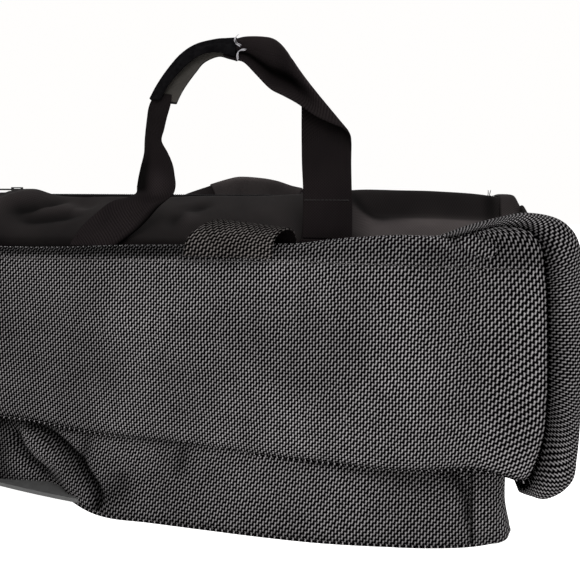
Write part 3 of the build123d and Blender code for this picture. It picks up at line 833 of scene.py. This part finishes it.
# Round the right end of the panel: where the gusset is sewn on, and how far out and down or up it bulges.
WING_STATIONS = [((195, 49.5), (197, 45)), ((199, 50.5), (203, 41.5)), ((201.5, 55), (211, 37.5)),
                 ((203, 62), (220, 40.5)), ((205, 70), (226.5, 48)), ((206.5, 85), (228.5, 64)),
                 ((206.5, 105), (228.5, 96)), ((204.5, 139), (226, 136)), ((202, 166), (223, 168)),
                 ((200, 180), (220.5, 188)), ((197, 190), (215, 197)), ((191, 197), (206, 202.5)),
                 ((183, 198.5), (193, 204.5)), ((174, 198), (181, 202.5)), ((165, 195.5), (169, 199.5)),
                 ((155, 192.5), (157, 195.5)), ((146, 190.5), (146, 191))]


def make_wings():
    """The pocket's end gussets: a full, rolled strip round each end of the panel."""
    lengths = running_length([seam for seam, _ in WING_STATIONS])
    tracks = tracks_of([(*seam, *out) for seam, out in WING_STATIONS], lengths)
    # Side, which way it faces, how much longer, how full and how tall it is, and the height of its foot.
    wings = (("right", 1, 0.0, 1.0, 1.0, WING_FOOT), ("left", -1, 7.0, 0.66, 0.86, 54.0))
    for side, sign, longer, full, tall, low in wings:
        def place(u, v, sign=sign, longer=longer, full=full, tall=tall, low=low):
            s = u * lengths[-1]
            sx, sz, ox, oz = (track(s) for track in tracks)
            swell = math.sin(math.pi * min(v * 1.02, 1.0)) ** 0.62 if v > 0 else 0.0
            swell *= full * (1 + 0.06 * wave(s, v * 50, 30, 8.0))
            size = min(math.hypot(ox - sx, oz - sz) / 22.0, 1.0)
            start_y = POCKET_PLAN(sign * min(sx + longer, 205 + longer)) + 2.6
            depth = (FRONT_RIM_Y + 2 - start_y) * (0.40 + 0.60 * min(size * 1.5, 1.0))
            y = start_y + depth * v - 2.0 * size * math.sin(math.pi * min(2 * v, 1.0))
            x = sx + longer + (ox - sx) * swell
            z = low + (sz + (oz - sz) * swell - WING_FOOT) * tall
            # The end gusset is painted darker overall and darkest at its seam with the panel; the wave adds
            # random tone.
            painted_light_and_wear = (0.2 + 0.6 * ease(0.0, 0.08, v)) * (0.92 + 0.12 * wave(s, v * 60, 35, 2.2))
            return sign * x, y, z, painted_light_and_wear
        cloth(f"wing_cloth_{side}", 100, 24, place, COARSE, "bag", "coarse_nylon",
              [f"pocket_gusset_{side}"], flip=sign < 0)


# ---------------------------------------------------------------- loop tab, bindings and stitching

def make_loop_tab():
    """A strip of coarse cloth folded over into a loop that stands above the pocket's hem."""
    profile = [(0, -1.0, 176.0), (1, -1.6, 180.0), (2, -2.6, 187.0), (3, -2.4, 193.5), (4, 0.5, 198.6),
               (5, 6.0, 200.4), (6, 11.5, 198.0), (7, 14.5, 190.5), (8, 15.8, 180.0)]
    depth = curve([(p[0], p[1]) for p in profile])
    height = curve([(p[0], p[2]) for p in profile])
    left = curve([(0, -14), (2, -10), (3, -5), (4, 2), (5, 6), (8, 7)])
    right = curve([(0, 46), (3, 49), (4, 52), (6, 58), (8, 60)])

    def place(u, v):
        step = v * 8
        x = left(step) + u * (right(step) - left(step))
        lift = max(0.0, (height(step) - 176) / 24)
        z = height(step) - lift * (5.0 * u + 1.0 * (1 - u) ** 14)
        y = POCKET_PLAN(x) + depth(step) + 1.2 * wave(x, z, 22, 3.3) * lift
        # Painted shade at the loop's foot; it is darker over its crown, and the wave adds random tone.
        painted_light_and_wear = 1.15 - 0.65 * ease(2.6, 4.4, step) - 0.35 * (1 - ease(0, 0.8, step))
        return x, y, z, painted_light_and_wear * (1 + 0.15 * wave(x, step * 6, 14, 3.1))
    # The loop's inside takes the darker webbing cloth: a painted shade for the dark tunnel under it.
    cloth("loop_cloth", 40, 48, place, TAB_WEAVE, "bag", "coarse_nylon", ["loop_tab"],
          thickness=1.5, lining=WEB)


def make_topstitching():
    line, outward = [], []
    for k in range(120):
        x = POCKET_LEFT + 8 + k / 119 * (POCKET_RIGHT - 18 - POCKET_LEFT)
        edge, foot = POCKET_EDGE(x), POCKET_FOOT(x)
        spot = pocket_point(x, (TOPSTITCH(x) - foot) / (edge - foot))
        line.append((spot[0], spot[1] - 0.25 - 1.6 * ease(-20, -12, x) * (1 - ease(44, 50, x)), spot[2]))
        outward.append((0, -1, 0.1))
    rows = stitches(line, outward, pitch=3.9, radius=0.28)
    join_shapes("hem_stitches", rows, WEAVE_THREAD, "bag", "thread")
    seams = []
    for sign in (-1, 1):
        line = [(sign * (END_SEAM_X - 3.0), front_wall_y(sign * (END_SEAM_X - 3.0), z) - 0.2, z)
                for z in range(4, 48, 4)]
        seams.extend(stitches(line, [(0, -1, 0.1)] * len(line), pitch=3.6, radius=0.3))
    join_shapes("wall_stitches", seams, THREAD, "bag", "thread")


def make_rim_rolls():
    """Bound seam that stands up along the top edge of each end panel."""
    for side, sign in (("left", -1), ("right", 1)):
        outline = end_outline(sign, FRONT_RIM_Z)

        def place(u, v, outline=outline, sign=sign):
            x, y = along_line(outline, 0.04 + 0.92 * u)
            ahead = along_line(outline, min(0.04 + 0.92 * u + 0.01, 1.0))
            run = Vector((ahead[0] - x, ahead[1] - y, 0.0)).normalized()
            side_way = Vector((run.y, -run.x, 0.0)) * sign
            ends = min(1.0, 12 * u + 0.15, 12 * (1 - u) + 0.15)
            radius = 2.6 * ends
            half_height = (4.0 + 2.5 * math.sin(math.pi * u)) * ends
            turn = 2 * math.pi * v
            centre = Vector((x, y, roof_z(min(max(y, FRONT_RIM_Y), BACK_Y)) - end_dip(y) + 1.5 - half_height))
            centre -= side_way * 2.0
            centre += Vector((0, 0, 0.5 * wave(y, u * 60, 12, 5.0 + sign)))
            offset = side_way * (radius * math.cos(turn)) + Vector((0, 0, half_height * math.sin(turn)))
            return tuple(centre + offset)
        cloth(f"rim_roll_{side}", 60, 12, place, BINDING, "bag", "binding_tape", thickness=0.0, flip=sign < 0)


def make_bindings():
    """Tape folded over the raw seams inside the bag."""
    for name, sign, front in (("front_left", -1, True), ("front_right", 1, True),
                              ("back_left", -1, False), ("back_right", 1, False)):
        def place(u, v, sign=sign, front=front):
            z = 4 + u * ((FRONT_RIM_Z if front else BACK_RIM_Z) - 10)
            turn = math.pi * v
            x = sign * (END_SEAM_X + 1.1 * math.cos(turn))
            reach = 3.0 + 6.0 * math.sin(turn)
            wall = front_wall_y(sign * END_SEAM_X, z) if front else BACK_Y
            return x, wall + (reach if front else -reach), z
        cloth(f"binding_{name}", 60, 8, place, BINDING, "bag", "binding_tape", [f"seam_binding_{name}"],
              thickness=0.6, levels=0)

    def base(u, v):
        turn = 2 * math.pi * u
        half_x = BASE_X - 4.0
        x = half_x * math.copysign(abs(math.cos(turn)) ** 0.2, math.cos(turn))
        back = math.sin(turn) > 0
        edge = BACK_Y - 4.0 if back else -(floor_front(x) + 5.0)
        y = edge * math.copysign(abs(math.sin(turn)) ** 0.2, math.sin(turn))
        return x, y, 2.2 + 8.0 * v
    cloth("binding_base", 120, 3, base, BINDING, "bag", "binding_tape", ["base_binding"],
          thickness=0.8, levels=0)


def make_pocket_closure():
    """The hook strip behind the pocket's hem and the loop strip on the wall across from it."""
    for name, material, slot in (("hook_strip", HOOK, "hook_tape"), ("loop_strip", LOOP, "loop_tape")):
        low, high = corner(name, 0), corner(name, 1)

        def place(u, v, low=low, high=high, name=name):
            x = low[0] + u * (high[0] - low[0])
            z = low[2] + v * (high[2] - low[2])
            if name == "hook_strip":
                share = (z - POCKET_FOOT(x)) / (POCKET_EDGE(x) - POCKET_FOOT(x))
                y = pocket_point(x, share)[1] + FABRIC + 1.7
            else:
                y = front_wall_y(x, z) - 0.3
            return x, y, z
        cloth(f"{name}_cloth", 50, 10, place, material, "bag", slot, [name], thickness=1.0, levels=0,
              offset=1.0 if name == "hook_strip" else -1.0)


# ---------------------------------------------------------------- handles

def on_front_handle(x, v, w):
    lean = math.radians(FRONT_LEAN)
    y = FRONT_HINGE[1] + v * math.sin(lean) - w * math.cos(lean)
    z = FRONT_HINGE[2] + v * math.cos(lean) + w * math.sin(lean)
    return x, y, z


def on_rear_handle(x, v, w):
    lean = math.radians(REAR_LEAN)
    y = REAR_HINGE[1] + v * math.sin(lean) + w * math.cos(lean)
    z = REAR_HINGE[2] + v * math.cos(lean) - w * math.sin(lean)
    return -x, y, z


# Each station is the strap's two edges as (along the bag, height up the handle), then its depth at the
# first edge, the middle and the second edge.
RIGHT_STRAP = [
    ((61.5, 0.4), (93.8, 0.4), 1.4, 1.6, 1.4), ((61.7, 8), (93.6, 8), 0.8, 1.2, 0.8),
    ((61.4, 20), (93.2, 20), 0.0, 0.8, 0.0), ((61.0, 33), (92.4, 33), 0.0, 0.8, 0.2),
    ((59.6, 50), (91.6, 48), 0.0, 0.2, 0.4), ((58.4, 73), (91.4, 57), -0.4, -0.6, 0.4),
    ((57.6, 93), (91.2, 62), -0.6, -1.0, 0.2), ((56.6, 104), (90.4, 66), 0.2, 0.0, 0.8),
    ((54.8, 108.5), (86.8, 70), 2.6, 3.0, 2.8), ((51, 115), (79.5, 72.5), 4.2, 4.4, 4.4),
    ((46.5, 122), (68, 78), 4.6, 0.0, 4.8), ((42, 126.8), (56.5, 86), 4.4, -5.5, 5.0),
    ((37.5, 129.8), (47, 91.5), 3.8, -8.5, 4.4), ((31.5, 131.2), (38, 96.5), 3.4, -9.0, 4.0),
    ((25, 131.9), (28.5, 106), 3.0, -7.5, 3.4), ((18.5, 132), (19.5, 115), 2.6, -5.0, 2.8),
    ((11, 131), (11.7, 117.6), 1.6, -3.0, 1.8), ((4, 130), (4.5, 120), 0.8, 0.0, 0.8)]

LEFT_STRAP = [
    ((-41, 97), (-31, 96.0), -0.6, -0.4, -0.6), ((-45, 92.5), (-31, 92), -0.4, 0.6, -0.4),
    ((-46.8, 87), (-31.6, 87), 0.0, 1.8, 0.0), ((-47.4, 81), (-33.2, 81), 0.0, 2.6, 0.0),
    ((-48.0, 72.4), (-34.9, 72.4), 0.0, 3.2, 0.0), ((-48.3, 64.6), (-36.3, 64.6), 0.0, 3.4, 0.0),
    ((-49.5, 56.8), (-32.0, 56.8), -2.4, 3.0, -1.2), ((-52.2, 49), (-28.4, 49), -4.4, 2.6, -1.8),
    ((-54.0, 41.2), (-26.6, 41.2), -5.0, 3.4, -1.8), ((-54.5, 34.7), (-25.6, 34.7), -4.4, 4.0, -1.6),
    ((-54.6, 29.5), (-27.0, 28.6), -3.2, 3.6, -1.2), ((-61, 26.0), (-31.6, 24), -1.6, 2.4, -0.2),
    ((-72, 23.0), (-36.6, 19.2), -0.6, 1.4, 0.6), ((-84, 13.5), (-43.2, 11.4), 0.0, 0.8, 0.8),
    ((-93, 4.5), (-51, 3.6), 0.6, 1.4, 1.2), ((-99.5, -8), (-65.5, -8), 2.4, 2.6, 2.4)]

# The rear strap lies back, and stands on edge along the top of its arch.
REAR_STRAP = [
    ((92, -0.6), (60, -0.6), 4.2, 4.4, 4.2), ((92.5, 14), (61, 14), 2.0, 2.5, 2.0),
    ((93, 36), (62, 34), 6.5, 6.5, 6.5), ((92, 62), (66, 54), 9.5, 9.5, 11.0),
    ((84, 84), (70, 74), 7.5, 10.0, 16.0), ((72, 103), (62, 92), 4.5, 9.0, 18.0),
    ((56, 116), (50, 104), 0.5, 6.0, 19.0), ((44, 123), (41, 112), -1.0, 5.0, 19.0),
    ((23, 130), (22, 119), 1.5, 7.0, 19.0), ((7, 130), (8, 119), 4.5, 9.0, 20.0),
    ((-9, 127), (-7, 117), 9.0, 13.0, 22.0), ((-22, 121), (-18, 111), 11.0, 14.0, 23.0),
    ((-38, 106), (-32, 98), 10.0, 12.0, 20.0), ((-50, 84), (-38, 80), 6.0, 8.0, 12.0),
    ((-56, 58), (-34, 56), 2.0, 3.0, 5.0), ((-64, 34), (-34, 33), 0.0, 0.5, 0.6),
    ((-78, 14), (-46, 14), 1.0, 1.3, 1.0), ((-88, -0.6), (-56, -0.6), 4.2, 4.4, 4.2)]

# The sleeve's fold at the outside of the bend, the edge of its front flap and the edge of its back flap.
SLEEVE_STATIONS = [
    ((13.5, 131.9), (13.2, 118.6), (13.2, 118.0)), ((7, 131.8), (7.5, 120.4), (7.2, 119.8)),
    ((-1.4, 131.4), (-0.5, 122.2), (-0.2, 121.6)), ((-14.5, 128.6), (-11.0, 120.6), (-9.6, 118.0)),
    ((-25, 122.2), (-20.0, 114.4), (-15.2, 111.6)), ((-34.2, 111.7), (-27.6, 106.8), (-20.6, 104.4)),
    ((-41.2, 101.2), (-33.4, 99.2), (-24.6, 98.0)), ((-45.6, 92.5), (-37.4, 91.0), (-28.2, 90.2))]


def make_sleeve(side, place, body):
    tracks = tracks_of([(*fold, *front, *back) for fold, front, back in SLEEVE_STATIONS])
    last = len(SLEEVE_STATIONS) - 1

    def section(u, v, half=3.2):
        """u runs from the front flap's edge, round the fold, to the back flap's edge."""
        ox, ov, fx, fv, bx, bv = (track(v * last) for track in tracks)
        cuff = 1 + 0.10 * (ease(0.96, 1.0, v) + ease(0.04, 0.0, v))
        if u < 0.42:
            t = u / 0.42
            ease_out = 0.10 + 0.90 * (1 - t)
            x, high = ox + (fx - ox) * ease_out, ov + (fv - ov) * ease_out
            depth = half * (0.70 + 0.30 * math.sin(math.pi * min(t + 0.25, 1.0)))
        elif u < 0.58:
            angle = math.pi * (u - 0.42) / 0.16
            shrink = 0.10 * (1 - math.sin(angle))
            x, high = ox + (fx - ox) * shrink, ov + (fv - ov) * shrink
            depth = half * 0.92 * math.cos(angle)
        else:
            t = (u - 0.58) / 0.42
            reach = 0.10 + 0.90 * t
            x, high = ox + (bx - ox) * reach, ov + (bv - ov) * reach
            depth = -half * (0.70 + 0.22 * math.sin(math.pi * min(1.25 - t, 1.0)))
        return place(x, high, depth * cuff)

    cloth(f"{side}_sleeve", 36, 60, section, SLEEVE, body, "grip_sleeve", [f"{side}_grip"],
          thickness=1.2, offset=0.0)

    def lining(u, v):
        share = 0.08 + 0.91 * v
        ox, ov, _, _, bx, bv = (track(share * last) for track in tracks)
        x, high = ox + (bx - ox) * (0.25 + 0.79 * u), ov + (bv - ov) * (0.25 + 0.79 * u)
        return place(x, high, -1.1 + 0.4 * wave(x, high, 9, 4.0))
    cloth(f"{side}_lining", 8, 50, lining, LINING, body, "grip_sleeve", thickness=0.6, offset=0.0)


def folded_strap_shade(u, step):
    """Painted shade under the fold and in the channel, painted highlight on the flap above it."""
    front = ease(7.2, 8.0, step)
    under = ease(4.2, 6.5, step) * (1 - front)
    channel = ease(8.8, 10.8, step) * math.exp(-((u - 0.52) / 0.15) ** 2)
    flap = front * (1 - ease(0.34, 0.5, u))
    return max(0.08, (1 - 0.75 * under) * (1 - 0.92 * channel) * (1 + 0.9 * flap + 0.25 * front))


def twisted_strap_shade(u, step):
    """Painted shade where the strap turns over, above the wide part; a painted highlight on the wide belly,
    the foot lighter, and a painted shadow along the foot's right edge.
    """
    turned = ease(5.5, 7.5, step) * (1 - ease(9.2, 10.4, step)) * (1 - ease(0.25, 0.5, u))
    belly = ease(7.0, 8.5, step) * (1 - ease(9.8, 11.0, step)) * math.exp(-((u - 0.65) / 0.22) ** 2)
    foot = ease(10.5, 12.0, step)
    rim = foot * ease(0.90, 0.96, u)
    return max(0.06, (1 - 0.8 * turned) * (1 + 0.6 * belly + 0.35 * foot) * (1 - 0.95 * rim))


def make_rear_grip():
    """The rear sleeve, round the part of the strap that stands on edge."""
    spine = REAR_STRAP[5:12]
    # The rear sleeve takes the fine cloth for its painted highlight: it is painted lighter all over, and
    # brightest along its first edge near the sleeve's start.
    ribbon("rear_sleeve", [(a, b, low - 1.0, middle, high + 1.0) for a, b, low, middle, high in spine],
           on_rear_handle, FINE, "rear_handle", "grip_sleeve", ["rear_grip"],
           across=14, along=80, thickness=4.0,
           shade=lambda u, step: 1.9 + 2.4 * (1 - ease(0.0, 0.4, u)) * math.exp(-((step - 2.2) / 1.8) ** 2))


# Two heights above the hinge line at which a point on each strap is taken; nothing makes the strap bend.
BEND_FROM = 0.0
BEND_TO = 22.0

# Each tack's thread, as points (along the bag, height up the handle, depth), on the strap's outer side.
TACKS = {
    "front": {
        "inner": [(20.4, 122.6, 2.8), (17.6, 122.8, 4.0), (15.4, 121.4, 4.6), (14.6, 118.6, 4.4),
                  (15.2, 115.8, 3.0)],
        "outer": [(14.6, 133.4, 2.4), (12.8, 131.6, 3.6), (12.4, 128.6, 4.4), (14.0, 126.2, 4.4),
                  (17.0, 125.0, 3.6)],
    },
    "rear": {
        "inner": [(20.4, 124.9, 13.4), (17.6, 124.2, 14.6), (15.4, 123.4, 16.4), (14.6, 122.5, 18.6),
                  (15.2, 121.4, 20.8)],
        "outer": [(14.6, 131.0, 3.8), (12.8, 130.4, 4.6), (12.4, 129.4, 5.4), (14.0, 128.4, 6.3),
                  (17.0, 127.4, 7.2)],
    },
}

# The depth of the row of stitches across each handle's strap.
STITCH_DEPTH = {"front": 1.7, "rear": 5.4}


def make_handle(side, place, body):
    if side == "front":
        straps = [
            ribbon("front_strap_folded", RIGHT_STRAP, place, WEB, None, "webbing", ["front_webbing"],
                   across=20, along=160, shade=folded_strap_shade),
            ribbon("front_strap_twisted", LEFT_STRAP, place, WEB, None, "webbing", across=14, along=120,
                   shade=twisted_strap_shade)]
        make_sleeve(side, place, body)
    else:
        straps = [ribbon("rear_strap_arched", REAR_STRAP, place, WEB, None, "webbing", ["rear_webbing"],
                         across=14, along=170)]
        make_rear_grip()
    for strap in straps:
        foot, free = Vector(place(0, BEND_FROM, 0)) * MM, Vector(place(0, BEND_TO, 0)) * MM
        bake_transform(strap)
    for name, path in TACKS[side].items():
        hook = [place(*p) for p in path]
        twin = [place(x + 0.5, v + 0.9, w - 0.5) for x, v, w in path]
        join_shapes(f"{side}_tack_{name}_threads", [tube(hook, 0.45, 8), tube(twin, 0.32, 8)],
                    PALE_THREAD if side == "front" else THREAD, body,
                    "thread", [f"{side}_tack_{name}"], levels=1)
    low = [place(62.5 + k * 1.5, 25.0, STITCH_DEPTH[side]) for k in range(21)]
    outward = Vector(place(0, 0, 1)) - Vector(place(0, 0, 0))
    rows = stitches(low, [outward] * len(low), pitch=2.6, radius=0.28)
    join_shapes(f"{side}_strap_stitches", rows, THREAD, body, "thread")


def make_strap_ends():
    """The sewn ends of the handles' webbing, flat against the walls."""
    for side, wall in (("front", "front"), ("rear", "back")):
        for end in ("left", "right"):
            name = f"{side}_strap_end_{end}"
            low, high = corner(name, 0), corner(name, 1)
            rise = 1.8 if wall == "front" else 0.0

            def place(u, v, low=low, high=high, wall=wall, name=name, rise=rise):
                x = low[0] + u * (high[0] - low[0])
                z = low[2] + v * (high[2] + rise - low[2])
                if wall == "front":
                    y = front_wall_y(x, z) - 1.6 - 1.6 * ease(high[2] - 14, high[2] - 8, z)
                else:
                    y = BACK_Y + 0.9
                if name == "front_strap_end_left":
                    x -= 8.0 * v * v
                return x, y + 0.25 * wave(x, z, 14, 6.0), z
            cloth(f"{side}_strap_sewn_{end}", 12, 30, place, WEB, "bag", "webbing", [name], thickness=WEBBING,
                  offset=0.0)
            front = wall == "front"
            y_top = (front_wall_y(low[0], low[2] + 24) - 2.7) if front else BACK_Y + 1.95
            box = [(low[0] + 4, y_top, low[2] + 4), (high[0] - 4, y_top, low[2] + 4),
                   (high[0] - 4, y_top, low[2] + 28), (low[0] + 4, y_top, low[2] + 28)]
            outward = (0, -1 if front else 1, 0)
            join_shapes(f"{side}_box_stitches_{end}", box_stitches(box, outward), THREAD, "bag", "thread")


# ---------------------------------------------------------------- camera, light, floor

CAMERA_PLACE = (0.126, -0.425, 0.223)
CAMERA_DOWN = 10.2
CAMERA_TURN = 10.8
CAMERA_LENS = 37.24
FLOOR_HALF = 3.0
FLOOR_Z = -0.0005


def make_stage():
    scene = bpy.context.scene
    camera_data = bpy.data.cameras.new("camera")
    camera_data.lens = CAMERA_LENS
    camera_data.sensor_width = 36.0
    camera = bpy.data.objects.new("camera", camera_data)
    scene.collection.objects.link(camera)
    camera.location = CAMERA_PLACE
    camera.rotation_euler = (math.radians(90 - CAMERA_DOWN), 0.0, math.radians(CAMERA_TURN))
    scene.camera = camera
    scene.view_settings.view_transform = "Standard"

    world = bpy.data.worlds.new("studio")
    world.use_nodes = True
    background = world.node_tree.nodes["Background"]
    background.inputs["Color"].default_value = (1.0, 0.99, 0.98, 1.0)
    background.inputs["Strength"].default_value = 1.0
    scene.world = world

    mesh = bpy.data.meshes.new("floor")
    corners = [(-FLOOR_HALF, -FLOOR_HALF), (FLOOR_HALF, -FLOOR_HALF), (FLOOR_HALF, FLOOR_HALF),
               (-FLOOR_HALF, FLOOR_HALF)]
    mesh.from_pydata([(x, y, FLOOR_Z) for x, y in corners], [], [(0, 1, 2, 3)])
    floor = bpy.data.objects.new("floor", mesh)
    scene.collection.objects.link(floor)
    pale = bpy.data.materials.new("floor")
    pale.use_nodes = True
    inputs = pale.node_tree.nodes["Principled BSDF"].inputs
    inputs["Base Color"].default_value = (0.8, 0.8, 0.79, 1.0)
    inputs["Roughness"].default_value = 0.6
    inputs["Emission Color"].default_value = (1.0, 1.0, 1.0, 1.0)
    inputs["Emission Strength"].default_value = 0.9
    floor.data.materials.append(pale)

    lights = [("key", (0.7, -0.9, 1.4), 0.8, 26.0), ("fill", (-0.9, -1.1, 0.9), 1.2, 4.0),
              ("top", (0.0, 0.4, 1.6), 1.4, 22.0)]
    for name, spot, size, power in lights:
        data = bpy.data.lights.new(name, "AREA")
        data.size = size
        data.energy = power
        light = bpy.data.objects.new(name, data)
        light.location = spot
        light.rotation_euler = (Vector((0, 0, 0.1)) - Vector(spot)).to_track_quat("-Z", "Y").to_euler()
        scene.collection.objects.link(light)


make_stage()
make_front_panel()
make_end_panels()
make_back_panel()
make_bottom()
make_gussets()
make_zipper()
make_rim_rolls()
make_bindings()
make_pocket()
make_pocket_closure()
make_wings()
make_loop_tab()
make_topstitching()
make_handle("front", on_front_handle, "front_handle")
make_handle("rear", on_rear_handle, "rear_handle")
make_strap_ends()

own_shapes = {"base_board": BOARD, "slider_body": METAL, "slider_bail": METAL, "pull_plate": METAL,
              "zipper_stop_left": METAL, "zipper_stop_right": METAL}
for name, material in own_shapes.items():
    NODES[name].data.materials.clear()
    NODES[name].data.materials.append(material)
